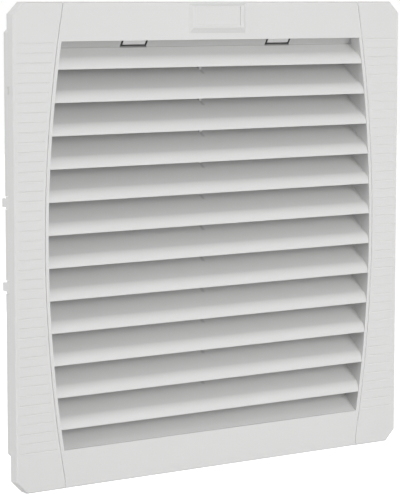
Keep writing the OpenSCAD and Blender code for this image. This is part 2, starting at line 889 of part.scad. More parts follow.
// Repeats its children at the poles of the terminal block.
module at_poles() {
    for (k = [0 : term_poles - 1])
        translate([term_x + term_edge + k * term_pitch, hood_back, term_z + term_h / 2]) children();
}

module terminal_block() color([0.9, 0.9, 0.88]) difference() {
    union() {
        translate([term_x, hood_back, term_z]) cube([term_w, term_deep, term_h]);
        translate([term_x, hood_back, term_z + term_step]) cube([term_w, term_tower, term_h - 2 * term_step]);
    }
    at_poles() {
        rod_y(0, 0, term_screw_r + 0.1, term_seat, term_tower + 1);
        // wire entries from below and from above
        for (s = [-1, 1]) translate([0, 6, s * (term_h / 2 + 1)])
            cylinder(r = term_wire_r, h = 7, center = true);
    }
    for (k = [1 : term_poles - 1])
        translate([term_x + k * term_pitch + 0.5, hood_back + 3, term_z - 1])
            cube([1, term_tower, term_h + 2]);
}

module terminal_screws() color([0.75, 0.76, 0.78]) at_poles() difference() {
    rod_y(0, 0, term_screw_r, term_seat, term_seat + term_screw_l);
    translate([0, term_seat + term_screw_l, 0]) cube([2 * term_screw_r + 1, 2, 0.8], center = true);
}

mounting_frame();
mat_grid();
panel_gasket();
filter_mat();
front_cover();
hinge_pin_left();
hinge_pin_right();
panel_clip_left_upper();
panel_clip_left_lower();
panel_clip_right_upper();
panel_clip_right_lower();
clip_pins();
fan_hood();
hood_screws();
fan_frame();
fan_inserts();
fan_screws();
finger_guard();
bearing_tube();
front_bearing();
rear_bearing();
preload_washer();
stator_core();
stator_windings();
rotor_shaft();
rotor_can();
rotor_core();
impeller();
shaft_circlip();
terminal_block();
terminal_screws();
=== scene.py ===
# %% [markdown]
# # Dressing a cabinet filter fan
# The solids of this part come from its CAD source and arrive here as a fixed frame: a louvred flap in a
# square flange, and behind it a filter mat, a hood and an axial fan. Blender adds what the solids leave
# plain: the finish of every surface, the fibre mat, the foam seal, the screws and the guard's welded wire.

# %% Load the solids
import json
import math

import bmesh
import bpy
from mathutils import Euler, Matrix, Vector, noise


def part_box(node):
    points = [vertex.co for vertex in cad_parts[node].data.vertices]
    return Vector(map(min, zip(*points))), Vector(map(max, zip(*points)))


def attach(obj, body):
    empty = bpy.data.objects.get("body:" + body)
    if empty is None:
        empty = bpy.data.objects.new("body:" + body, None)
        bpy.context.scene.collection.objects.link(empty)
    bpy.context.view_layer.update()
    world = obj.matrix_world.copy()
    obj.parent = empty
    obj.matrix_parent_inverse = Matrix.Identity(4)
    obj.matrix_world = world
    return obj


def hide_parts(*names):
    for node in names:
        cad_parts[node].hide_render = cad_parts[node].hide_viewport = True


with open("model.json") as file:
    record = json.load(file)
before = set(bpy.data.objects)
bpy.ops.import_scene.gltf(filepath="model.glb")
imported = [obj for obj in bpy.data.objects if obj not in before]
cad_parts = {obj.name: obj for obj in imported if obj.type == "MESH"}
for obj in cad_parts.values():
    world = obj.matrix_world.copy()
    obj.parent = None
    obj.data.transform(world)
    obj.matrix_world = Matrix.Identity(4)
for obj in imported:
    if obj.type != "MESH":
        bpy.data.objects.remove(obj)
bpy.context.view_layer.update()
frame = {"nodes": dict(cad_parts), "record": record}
solids = frame["nodes"]
slot_of = {row["node"]: row["material_slot"] for row in frame["record"]["subparts"]}
MM = 0.001

# %% [markdown]
# ## Camera
# The camera stands to the left of the unit, with the eye at the height of its top edge, and far enough
# away that the square front hardly tapers. A long lens does that. Place and lens were found by fitting the
# flange's edges and one line along each blade to the photograph. The focal length is known in pixels of
# the 400 by 494 picture, so it is turned into millimetres of sensor.

# %% Camera
camera_at = Vector((-865.5, -1222.0, 161.0)) * MM
camera_turn = -35.027
camera_tilt = 6.437
focal_px = 2188.8
picture_h = 494

camera_data = bpy.data.cameras.new("camera")
camera_data.lens = focal_px * camera_data.sensor_width / picture_h
camera = bpy.data.objects.new("camera", camera_data)
camera.location = camera_at
camera.rotation_euler = Euler((math.radians(90 - camera_tilt), 0, math.radians(camera_turn)))
bpy.context.collection.objects.link(camera)
bpy.context.scene.camera = camera
bpy.context.scene.view_settings.view_transform = "Standard"
print(f"lens {camera_data.lens:.1f} mm")

# %% [markdown]
# ## Small helpers for node trees
# Materials, the world and Geometry Nodes are all node trees. One helper adds a node with its settings and
# input values, one makes a group with named sockets, and one calculates with numbers or sockets, so that
# the recipes below stay short.

# %% Node helpers
def add_node(tree, kind, inputs=None, **settings):
    node = tree.nodes.new(kind)
    for name, value in settings.items():
        setattr(node, name, value)
    for name, value in (inputs or {}).items():
        node.inputs[name].default_value = value
    return node


def new_group(name, kind, inputs, outputs):
    group = bpy.data.node_groups.new(name, kind)
    for socket_name, socket_type, default in inputs:
        socket = group.interface.new_socket(socket_name, in_out="INPUT", socket_type=socket_type)
        if default is not None:
            socket.default_value = default
    for socket_name, socket_type in outputs:
        group.interface.new_socket(socket_name, in_out="OUTPUT", socket_type=socket_type)
    return group, group.nodes.new("NodeGroupInput"), group.nodes.new("NodeGroupOutput")


def math_node(tree, operation, first, second=0.0):
    node = add_node(tree, "ShaderNodeMath", operation=operation)
    for socket, value in zip(node.inputs, (first, second)):
        if isinstance(value, (int, float)):
            socket.default_value = value
        else:
            tree.links.new(value, socket)
    return node.outputs[0]


# %% [markdown]
# ## Studio light
# The picture is a catalogue shot on white. A world that is a little brighter towards the left and the front
# gives soft light from all sides. The key lamp stands near in front, at about the height of the unit and a
# little right of the middle. A large side lamp at the left shows in no reflection, since its glare washed
# out top faces in a view from the right. A weak lamp overhead and one behind make the other views readable.
# Places and strengths were chosen by comparing renders with the photograph. The camera, reflections and
# see-through rays meet a plain white world, and the floor, well below the unit, is lifted towards white in
# the same way.

# %% World
light_lean = Vector((-0.08, -0.06, 0.0))
light_level = 0.45


def seen_directly(tree):
    path = add_node(tree, "ShaderNodeLightPath")
    seen = math_node(tree, "MAXIMUM", path.outputs["Is Camera Ray"], path.outputs["Is Glossy Ray"])
    return math_node(tree, "MAXIMUM", seen, path.outputs["Is Transmission Ray"])


def build_world():
    world = bpy.data.worlds.new("studio")
    world.use_nodes = True
    tree = world.node_tree
    tree.nodes.clear()
    coords = add_node(tree, "ShaderNodeTexCoord")
    lean = add_node(tree, "ShaderNodeVectorMath", operation="DOT_PRODUCT")
    lean.inputs[1].default_value = light_lean
    tree.links.new(coords.outputs["Generated"], lean.inputs[0])
    soft = add_node(tree, "ShaderNodeBackground", {"Color": (1, 1, 1, 1)})
    tree.links.new(math_node(tree, "ADD", lean.outputs["Value"], light_level), soft.inputs["Strength"])
    white = add_node(tree, "ShaderNodeBackground", {"Color": (1, 1, 1, 1), "Strength": 1.0})
    mix = add_node(tree, "ShaderNodeMixShader")
    tree.links.new(seen_directly(tree), mix.inputs["Fac"])
    tree.links.new(soft.outputs["Background"], mix.inputs[1])
    tree.links.new(white.outputs["Background"], mix.inputs[2])
    output = add_node(tree, "ShaderNodeOutputWorld")
    tree.links.new(mix.outputs["Shader"], output.inputs["Surface"])
    bpy.context.scene.world = world


build_world()
print(f"world level {light_level}")

# %% Lamps and floor
key_at = Vector((0.15, -1.05, 0.10))
key_size = 0.8
key_watts = 8.0
side_at = Vector((-2.40, 0.10, 0.50))
side_size = 1.4
side_watts = 30.0
top_at = Vector((-0.30, 0.25, 1.60))
top_size = 1.0
top_watts = 3.0
back_at = Vector((0.70, 2.40, 0.35))
back_size = 1.4
back_watts = 20.0
floor_z = -0.42
floor_half = 6.0
floor_shade = 0.4
floor_lift = 0.9


def build_softbox(name, at, size, watts, glare=True):
    lamp = bpy.data.lights.new(name, "AREA")
    lamp.shape = "SQUARE"
    lamp.size = size
    lamp.energy = watts
    holder = bpy.data.objects.new(name, lamp)
    holder.location = at
    holder.rotation_euler = (-at).to_track_quat("-Z", "Y").to_euler()
    holder.visible_glossy = glare
    bpy.context.collection.objects.link(holder)


def build_floor():
    mesh = bpy.data.meshes.new("floor")
    corners = [(x * floor_half, y * floor_half, floor_z) for x, y in ((-1, -1), (1, -1), (1, 1), (-1, 1))]
    mesh.from_pydata(corners, [], [(0, 1, 2, 3)])
    floor = bpy.data.objects.new("floor", mesh)
    bpy.context.collection.objects.link(floor)
    paint = bpy.data.materials.new("floor_paint")
    paint.use_nodes = True
    tree = paint.node_tree
    bsdf = tree.nodes["Principled BSDF"]
    bsdf.inputs["Base Color"].default_value = (floor_shade, floor_shade, floor_shade, 1)
    bsdf.inputs["Roughness"].default_value = 0.9
    bsdf.inputs["Specular IOR Level"].default_value = 0.1
    bsdf.inputs["Emission Color"].default_value = (1, 1, 1, 1)
    lift = math_node(tree, "MULTIPLY", seen_directly(tree), floor_lift)
    tree.links.new(lift, bsdf.inputs["Emission Strength"])
    mesh.materials.append(paint)


build_softbox("key", key_at, key_size, key_watts)
build_softbox("side", side_at, side_size, side_watts, glare=False)
build_softbox("top", top_at, top_size, top_watts)
build_softbox("back", back_at, back_size, back_watts)
build_floor()
print("lamps and floor ready")

# %% [markdown]
# ## Effects shared by several finishes
# Injection-moulded plastic has a faint cloudiness, a fine spark-eroded grain and slightly uneven gloss. The
# black casting uses the same group with a coarser and deeper grain. Drawn or turned metal has lines along one
# direction. Each effect is a node group that gives colours, roughness, height or normals. The soft edge group
# rounds the look of sharp corners: real mouldings have a radius of a few tenths of a millimetre there, which
# catches the light. Its edge mask is also used below to paint a highlight into the colour of moulded edges.

# %% Effect groups
def object_coords(tree):
    return add_node(tree, "ShaderNodeTexCoord").outputs["Object"]


def build_moulded_skin():
    group, given, result = new_group(
        "moulded_skin", "ShaderNodeTree",
        [("Colour", "NodeSocketColor", (0.7, 0.7, 0.7, 1)), ("Clouds", "NodeSocketFloat", 0.02),
         ("Grain scale", "NodeSocketFloat", 2200.0), ("Roughness", "NodeSocketFloat", 0.5),
         ("Gloss spread", "NodeSocketFloat", 0.08)],
        [("Colour", "NodeSocketColor"), ("Roughness", "NodeSocketFloat"), ("Height", "NodeSocketFloat")])
    link = group.links.new
    place = object_coords(group)
    clouds = add_node(group, "ShaderNodeTexNoise", {"Scale": 22.0, "Detail": 4.0, "Roughness": 0.55})
    grain = add_node(group, "ShaderNodeTexNoise", {"Detail": 2.0, "Roughness": 0.6})
    link(place, clouds.inputs["Vector"])
    link(place, grain.inputs["Vector"])
    link(given.outputs["Grain scale"], grain.inputs["Scale"])
    centred = math_node(group, "SUBTRACT", clouds.outputs["Fac"], 0.5)
    shade = math_node(group, "MULTIPLY", centred, given.outputs["Clouds"])
    shade = math_node(group, "ADD", math_node(group, "MULTIPLY", shade, 2.0), 1.0)
    tint = add_node(group, "ShaderNodeVectorMath", operation="SCALE")
    link(given.outputs["Colour"], tint.inputs[0])
    link(shade, tint.inputs["Scale"])
    link(tint.outputs["Vector"], result.inputs["Colour"])
    uneven = math_node(group, "SUBTRACT", grain.outputs["Fac"], 0.5)
    gloss = math_node(group, "MULTIPLY", uneven, given.outputs["Gloss spread"])
    link(math_node(group, "ADD", gloss, given.outputs["Roughness"]), result.inputs["Roughness"])
    link(grain.outputs["Fac"], result.inputs["Height"])
    return group


def build_soft_edge():
    group, given, result = new_group(
        "soft_edge", "ShaderNodeTree",
        [("Radius", "NodeSocketFloat", 0.0004)],
        [("Normal", "NodeSocketVector"), ("Edge", "NodeSocketFloat")])
    link = group.links.new
    bevel = add_node(group, "ShaderNodeBevel", samples=6)
    link(given.outputs["Radius"], bevel.inputs["Radius"])
    geometry = add_node(group, "ShaderNodeNewGeometry")
    same = add_node(group, "ShaderNodeVectorMath", operation="DOT_PRODUCT")
    link(bevel.outputs["Normal"], same.inputs[0])
    link(geometry.outputs["Normal"], same.inputs[1])
    edge = add_node(group, "ShaderNodeMapRange", {"From Min": 1.0, "From Max": 0.75})
    link(same.outputs["Value"], edge.inputs["Value"])
    link(bevel.outputs["Normal"], result.inputs["Normal"])
    link(edge.outputs["Result"], result.inputs["Edge"])
    return group


def build_drawn_metal():
    group, given, result = new_group(
        "drawn_metal", "ShaderNodeTree",
        [("Colour", "NodeSocketColor", (0.6, 0.6, 0.6, 1)), ("Along", "NodeSocketVector", (1.0, 1.0, 1.0)),
         ("Line scale", "NodeSocketFloat", 900.0), ("Roughness", "NodeSocketFloat", 0.3),
         ("Stain", "NodeSocketFloat", 0.06)],
        [("Colour", "NodeSocketColor"), ("Roughness", "NodeSocketFloat"), ("Height", "NodeSocketFloat")])
    link = group.links.new
    stretch = add_node(group, "ShaderNodeVectorMath", operation="MULTIPLY")
    link(object_coords(group), stretch.inputs[0])
    link(given.outputs["Along"], stretch.inputs[1])
    lines = add_node(group, "ShaderNodeTexNoise", {"Detail": 3.0, "Roughness": 0.65})
    link(stretch.outputs["Vector"], lines.inputs["Vector"])
    link(given.outputs["Line scale"], lines.inputs["Scale"])
    stains = add_node(group, "ShaderNodeTexNoise", {"Scale": 140.0, "Detail": 3.0})
    link(object_coords(group), stains.inputs["Vector"])
    centred = math_node(group, "SUBTRACT", stains.outputs["Fac"], 0.5)
    shade = math_node(group, "ADD", math_node(group, "MULTIPLY", centred, given.outputs["Stain"]), 1.0)
    tint = add_node(group, "ShaderNodeVectorMath", operation="SCALE")
    link(given.outputs["Colour"], tint.inputs[0])
    link(shade, tint.inputs["Scale"])
    link(tint.outputs["Vector"], result.inputs["Colour"])
    uneven = math_node(group, "MULTIPLY", math_node(group, "SUBTRACT", lines.outputs["Fac"], 0.5), 0.3)
    link(math_node(group, "ADD", uneven, given.outputs["Roughness"]), result.inputs["Roughness"])
    link(lines.outputs["Fac"], result.inputs["Height"])
    return group


moulded_skin = build_moulded_skin()
soft_edge = build_soft_edge()
drawn_metal = build_drawn_metal()
print("effect groups:", moulded_skin.name, soft_edge.name, drawn_metal.name)

# %% [markdown]
# ## The finishes
# Every finish is a Principled material. Plastics and metals are fed by the groups above, and edges of
# mouldings get a painted highlight: their colour is made a little lighter.

# %% Finish helpers
def new_finish(name, metallic=0.0, specular=0.5):
    material = bpy.data.materials.new(name)
    material.use_nodes = True
    bsdf = material.node_tree.nodes["Principled BSDF"]
    bsdf.inputs["Metallic"].default_value = metallic
    bsdf.inputs["Specular IOR Level"].default_value = specular
    return material, material.node_tree, bsdf


def place_group(tree, group, values):
    node = add_node(tree, "ShaderNodeGroup", node_tree=group)
    for name, value in values.items():
        node.inputs[name].default_value = value
    return node


def finish_surface(tree, bsdf, skin, bump_depth, edge_radius):
    edge = place_group(tree, soft_edge, {"Radius": edge_radius})
    bump = add_node(tree, "ShaderNodeBump", {"Strength": 0.35, "Distance": bump_depth})
    tree.links.new(skin.outputs["Height"], bump.inputs["Height"])
    tree.links.new(edge.outputs["Normal"], bump.inputs["Normal"])
    tree.links.new(bump.outputs["Normal"], bsdf.inputs["Normal"])
    tree.links.new(skin.outputs["Roughness"], bsdf.inputs["Roughness"])
    return edge


def moulded(name, colour, roughness=0.5, clouds=0.015, grain=2200.0, depth=0.02 * MM,
            edge_highlight_share=0.06, edge_radius=0.45 * MM):
    material, tree, bsdf = new_finish(name)
    skin = place_group(tree, moulded_skin, {
        "Colour": (*colour, 1), "Clouds": clouds, "Grain scale": grain, "Roughness": roughness})
    edge = finish_surface(tree, bsdf, skin, depth, edge_radius)
    # Painted highlight: the colour is made lighter along edges, where the soft edge mask is high.
    edge_highlight = add_node(tree, "ShaderNodeMix", data_type="RGBA", blend_type="MIX")
    edge_highlight.inputs["B"].default_value = (*[min(1, c * (1 + 2 * edge_highlight_share)) for c in colour], 1)
    tree.links.new(math_node(tree, "MULTIPLY", edge.outputs["Edge"], 0.6), edge_highlight.inputs["Factor"])
    tree.links.new(skin.outputs["Colour"], edge_highlight.inputs["A"])
    tree.links.new(edge_highlight.outputs["Result"], bsdf.inputs["Base Color"])
    return material


def metal(name, colour, roughness, along=(1, 1, 1), lines=900.0, stain=0.08, depth=0.01 * MM):
    material, tree, bsdf = new_finish(name, metallic=1.0)
    skin = place_group(tree, drawn_metal, {
        "Colour": (*colour, 1), "Along": along, "Line scale": lines, "Roughness": roughness, "Stain": stain})
    finish_surface(tree, bsdf, skin, depth, 0.25 * MM)
    tree.links.new(skin.outputs["Colour"], bsdf.inputs["Base Color"])
    return material


# %% [markdown]
# Three finishes have a pattern of their own that sets both the shade and the height. Foam is a skin full of
# tiny pores. The mat is a felt of grey fibres, and sheen makes its edges glow a little. Motor sheet is
# stacked, so the core shows fine lines across the fan's axis, which a wave texture along that axis draws.

# %% Foam, fibre and stacked sheet
def two_tones(tree, bsdf, pattern, colour, dark, strength, depth, reach=(0.0, 1.0)):
    shade = add_node(tree, "ShaderNodeValToRGB")
    low, high = shade.color_ramp.elements
    low.color = (*[dark * c for c in colour], 1)
    low.position = reach[0]
    high.color = (*colour, 1)
    high.position = reach[1]
    tree.links.new(pattern, shade.inputs["Fac"])
    tree.links.new(shade.outputs["Color"], bsdf.inputs["Base Color"])
    bump = add_node(tree, "ShaderNodeBump", {"Strength": strength, "Distance": depth})
    tree.links.new(pattern, bump.inputs["Height"])
    tree.links.new(bump.outputs["Normal"], bsdf.inputs["Normal"])


def foam(name, colour):
    material, tree, bsdf = new_finish(name, specular=0.2)
    pores = add_node(tree, "ShaderNodeTexVoronoi", {"Scale": 1400.0}, feature="F1")
    tree.links.new(object_coords(tree), pores.inputs["Vector"])
    two_tones(tree, bsdf, pores.outputs["Distance"], colour,
              dark=0.35, strength=0.6, depth=0.2 * MM, reach=(0.05, 0.45))
    bsdf.inputs["Roughness"].default_value = 0.9
    return material


def fibre(name, colour):
    material, tree, bsdf = new_finish(name, specular=0.3)
    clumps = add_node(tree, "ShaderNodeTexNoise", {
        "Scale": 260.0, "Detail": 5.0, "Roughness": 0.7, "Distortion": 1.2})
    tree.links.new(object_coords(tree), clumps.inputs["Vector"])
    two_tones(tree, bsdf, clumps.outputs["Fac"], colour,
              dark=0.72, strength=0.7, depth=0.4 * MM, reach=(0.3, 0.62))
    bsdf.inputs["Roughness"].default_value = 0.85
    bsdf.inputs["Sheen Weight"].default_value = 0.25
    return material


def stacked_sheet(name, colour):
    material, tree, bsdf = new_finish(name, metallic=0.8)
    layers = add_node(tree, "ShaderNodeTexWave", {"Scale": 320.0, "Distortion": 0.4, "Detail": 1.0},
                      wave_type="BANDS", bands_direction="Y")
    tree.links.new(object_coords(tree), layers.inputs["Vector"])
    two_tones(tree, bsdf, layers.outputs["Fac"], colour, dark=0.5, strength=0.5, depth=0.05 * MM)
    bsdf.inputs["Roughness"].default_value = 0.5
    return material


# %% [markdown]
# ## Painted shade and light on the front
# Some faces of the front get painted shade, and some get painted light, in their colour. The wall that closes
# the top bay has painted shade, apart from its two tongues, and the slits round the tongues have darker
# painted shade still. The web behind the blades and the underside of the plinth get a little painted shade,
# and the narrow faces along the seams get painted light. These shares were set by comparing renders with the
# photograph. They are not known properties of the plastic. Masks find the faces by the place on the object and
# by the way the face looks. Each pair of numbers says where a mask begins and where it is full.

# %% Masks by place
tongue_x = 60 * MM
past_tongue = (10.4 * MM, 10.6 * MM)
near_tongue = (10.8 * MM, 10.6 * MM)
bay_rise = (129.3 * MM, 130.0 * MM)
wall_depth = (1.0 * MM, 2.4 * MM)
wall_normal = (0.0, -0.849, -0.528)
slit_depth = (2.8 * MM, 3.0 * MM)
slit_facing = (0.4, 0.2)
web_half = (1.5 * MM, 1.1 * MM)
web_depth = (8 * MM, 9 * MM)
plinth_half = (25 * MM, 24 * MM)
plinth_rise = (137 * MM, 138 * MM)
plinth_depth = (-7.5 * MM, -7.7 * MM)
plinth_facing = (0.2, 0.4)
seam_outer = (139.5 * MM, 139 * MM)
seam_inner = (119 * MM, 119.5 * MM)
seam_depth = (-2.6 * MM, -2.8 * MM)
seam_facing = (0.8, 0.9)


def ramp(tree, value, limits):
    step = add_node(tree, "ShaderNodeMapRange", {"From Min": limits[0], "From Max": limits[1]})
    tree.links.new(value, step.inputs["Value"])
    return step.outputs["Result"]


def place_axes(tree):
    split = add_node(tree, "ShaderNodeSeparateXYZ")
    tree.links.new(object_coords(tree), split.inputs["Vector"])
    return split.outputs, math_node(tree, "ABSOLUTE", split.outputs["X"])


def facing(tree, direction):
    match = add_node(tree, "ShaderNodeVectorMath", operation="DOT_PRODUCT")
    match.inputs[1].default_value = direction
    tree.links.new(add_node(tree, "ShaderNodeNewGeometry").outputs["True Normal"], match.inputs[0])
    return match.outputs["Value"]


def all_of(tree, first, *others):
    for other in others:
        first = math_node(tree, "MULTIPLY", first, other)
    return first


# Scales the colour under a mask: a share below 1 paints shade into it, a share above 1 paints light.
def paint_light_share(material, mask, share):
    tree = material.node_tree
    bsdf = tree.nodes["Principled BSDF"]
    plain = bsdf.inputs["Base Color"].links[0].from_socket
    change = math_node(tree, "ADD", 1.0, math_node(tree, "MULTIPLY", mask, share - 1.0))
    toned = add_node(tree, "ShaderNodeVectorMath", operation="SCALE")
    tree.links.new(plain, toned.inputs[0])
    tree.links.new(change, toned.inputs["Scale"])
    tree.links.new(toned.outputs["Vector"], bsdf.inputs["Base Color"])


# %% Painted shade and light on the front
# Painted shade: the wall over the top bay is made darker, and the slits round the tongues darker still.
def paint_shade_top_bay(material, wall_share, slit_share):
    tree = material.node_tree
    at, sideways = place_axes(tree)
    from_tongue = math_node(tree, "ABSOLUTE", math_node(tree, "SUBTRACT", sideways, tongue_x))
    high = ramp(tree, at["Z"], bay_rise)
    wall = all_of(tree, high, ramp(tree, at["Y"], wall_depth), ramp(tree, from_tongue, past_tongue))
    paint_light_share(material, wall, wall_share)
    along_wall = math_node(tree, "ABSOLUTE", facing(tree, wall_normal))
    slit = all_of(tree, high, ramp(tree, at["Y"], slit_depth), ramp(tree, from_tongue, near_tongue),
                  ramp(tree, along_wall, slit_facing))
    paint_light_share(material, slit, slit_share)


# Painted shade: the web behind the blades is made a little darker.
def paint_shade_web(material, share):
    tree = material.node_tree
    at, sideways = place_axes(tree)
    web = all_of(tree, ramp(tree, sideways, web_half), ramp(tree, at["Y"], web_depth))
    paint_light_share(material, web, share)


# Painted shade: the underside of the plinth is made a little darker.
def paint_shade_plinth(material, share):
    tree = material.node_tree
    at, sideways = place_axes(tree)
    below = ramp(tree, facing(tree, (0, 0, -1)), plinth_facing)
    underside = all_of(tree, below, ramp(tree, sideways, plinth_half), ramp(tree, at["Z"], plinth_rise),
                       ramp(tree, at["Y"], plinth_depth))
    paint_light_share(material, underside, share)


# Painted light: the narrow side faces along the seams are made lighter.
def paint_light_seam(material, outwards, share):
    tree = material.node_tree
    at, sideways = place_axes(tree)
    side = math_node(tree, "SIGN", at["X"])
    looks = all_of(tree, facing(tree, (1, 0, 0)), side, outwards)
    along = all_of(tree, ramp(tree, sideways, seam_outer), ramp(tree, sideways, seam_inner))
    seam = all_of(tree, along, ramp(tree, looks, seam_facing), ramp(tree, at["Y"], seam_depth))
    paint_light_share(material, seam, share)


# %% Make the finishes and hand them out
front_grey = (0.64, 0.64, 0.635)
# The edge share paints a highlight along the edges of the front mouldings.
front_edge = {"edge_highlight_share": 0.3, "edge_radius": 0.25 * MM}
mat_grey = (0.2, 0.205, 0.215)
# Shares of painted shade (below 1) and painted light (above 1) on faces of the front.
bay_painted_shade = 0.7
slit_painted_shade = 0.2
web_painted_shade = 0.8
plinth_painted_shade = 0.97
seam_painted_light = 1.5
finishes = {
    "frame_plastic": moulded("frame_plastic", front_grey, **front_edge),
    "flap_plastic": moulded("flap_plastic", front_grey, **front_edge),
    "hood_plastic": moulded("hood_plastic", (0.66, 0.66, 0.65), roughness=0.42),
    "clip_plastic": moulded("clip_plastic", (0.66, 0.66, 0.655), roughness=0.4),
    "seal_foam": foam("seal_foam", (0.06, 0.06, 0.065)),
    "mat_fibre": fibre("mat_fibre", mat_grey),
    "bright_steel": metal("bright_steel", (0.62, 0.63, 0.65), 0.3, lines=500.0),
    "black_casting": moulded("black_casting", (0.022, 0.022, 0.024), roughness=0.42, clouds=0.12, grain=900.0,
                             depth=0.06 * MM, edge_highlight_share=0.3),
    "insert_brass": metal("insert_brass", (0.62, 0.44, 0.18), 0.3, along=(1, 8, 1)),
    "guard_wire": metal("guard_wire", (0.65, 0.66, 0.68), 0.16, lines=400.0),
    "bearing_steel": metal("bearing_steel", (0.52, 0.53, 0.55), 0.22, along=(1, 6, 1)),
    "lamination": stacked_sheet("lamination", (0.22, 0.22, 0.23)),
    "copper_wire": metal("copper_wire", (0.5, 0.19, 0.08), 0.3, along=(1, 5, 1), stain=0.3),
    "impeller_plastic": moulded("impeller_plastic", (0.018, 0.018, 0.02), roughness=0.38, clouds=0.1,
                                grain=1500.0, edge_highlight_share=0.3),
    "terminal_plastic": moulded("terminal_plastic", (0.76, 0.76, 0.73), roughness=0.32),
}

paint_shade_top_bay(finishes["flap_plastic"], bay_painted_shade, slit_painted_shade)
paint_shade_web(finishes["flap_plastic"], web_painted_shade)
paint_shade_plinth(finishes["flap_plastic"], plinth_painted_shade)
paint_light_seam(finishes["flap_plastic"], 1.0, seam_painted_light)
paint_light_seam(finishes["frame_plastic"], -1.0, seam_painted_light)
for node_name, solid in solids.items():
    for held in solid.material_slots:
        held.material = finishes[slot_of[node_name]]
print(f"{len(finishes)} finishes on {len(solids)} solids")

# %% [markdown]
# ## The filter mat
# Filter mats are cut from fibre felt: soft, slightly uneven in thickness, with rounded edges and stray
# fibres on both faces. A plain block would look like board, so the mat is a closed pillow: two grids of
# points, pulled together at the rim, with gentle lumps from smooth noise. It takes the place of its CAD solid.

# %% Filter mat
mat_cut = 18 * MM
mat_rim = 2.6 * MM
mat_lump = 0.3 * MM
mat_rows = 84
lump_wide = 45
lump_fine = 160


def mat_steps():
    rim = [1.0, 0.9985, 0.995, 0.99, 0.984]
    inner = [0.975 * (1 - 2 * k / mat_rows) for k in range(mat_rows + 1)]
    return rim + inner + [-value for value in reversed(rim)]


def build_mat():
    low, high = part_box("filter_mat")
    half = high.x
    middle = (low.y + high.y) / 2
    half_thick = (high.y - low.y) / 2 - mat_lump
    steps = mat_steps()
    mesh = bmesh.new()
    faces = {}
    for side in (-1, 1):
        for row, v in enumerate(steps):
            z = v * half
            reach = min(half, 2 * half - mat_cut - abs(z))
            for column, u in enumerate(steps):
                x = u * reach
                rim = min(half - abs(z), reach - abs(x))
                share = min(max(rim / mat_rim, 0), 1)
                swell = (1 - (1 - share) ** 3) ** (1 / 3)
                lump = noise.noise(Vector((x, side, z)) * lump_wide)
                lump += 0.5 * noise.noise(Vector((x, side + 7, z)) * lump_fine)
                y = middle + side * swell * (half_thick + mat_lump * max(-1, min(1, lump)))
                faces[side, row, column] = mesh.verts.new((x, y, z))
    last = len(steps) - 1
    for side in (-1, 1):
        for row in range(last):
            for column in range(last):
                ring = [(row, column), (row, column + 1), (row + 1, column + 1), (row + 1, column)]
                mesh.faces.new([faces[side, r, c] for r, c in (ring if side > 0 else reversed(ring))])
    bmesh.ops.remove_doubles(mesh, verts=mesh.verts, dist=1e-6)
    bmesh.ops.recalc_face_normals(mesh, faces=mesh.faces)
    return mesh_piece("filter_felt", mesh, "mat_fibre")


def mesh_piece(name, mesh, slot):
    data = bpy.data.meshes.new(name)
    mesh.to_mesh(data)
    mesh.free()
    data.polygons.foreach_set("use_smooth", [True] * len(data.polygons))
    data.materials.append(finishes[slot])
    piece = bpy.data.objects.new(name, data)
    bpy.context.collection.objects.link(piece)
    return piece


def join_part(piece, body, slot, *nodes):
    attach(piece, body)
    if nodes:
        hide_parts(*nodes)
    print(f"{piece.name}: {len(piece.data.polygons)} faces on {body}")


felt = build_mat()
join_part(felt, "base", "mat_fibre", "filter_mat")

# %% [markdown]
# ## Stray fibres
# What makes felt look like felt are single fibres that lie loose on it. Geometry Nodes scatters points on
# the mat with a fixed seed and lays a short bent fibre on each, turned about the surface at random. Every
# fibre is a thin three-sided tube, so that thousands of them stay cheap.

# %% Stray fibres
fibre_density = 70000.0
fibre_long = 13 * MM
fibre_thick = 0.07 * MM


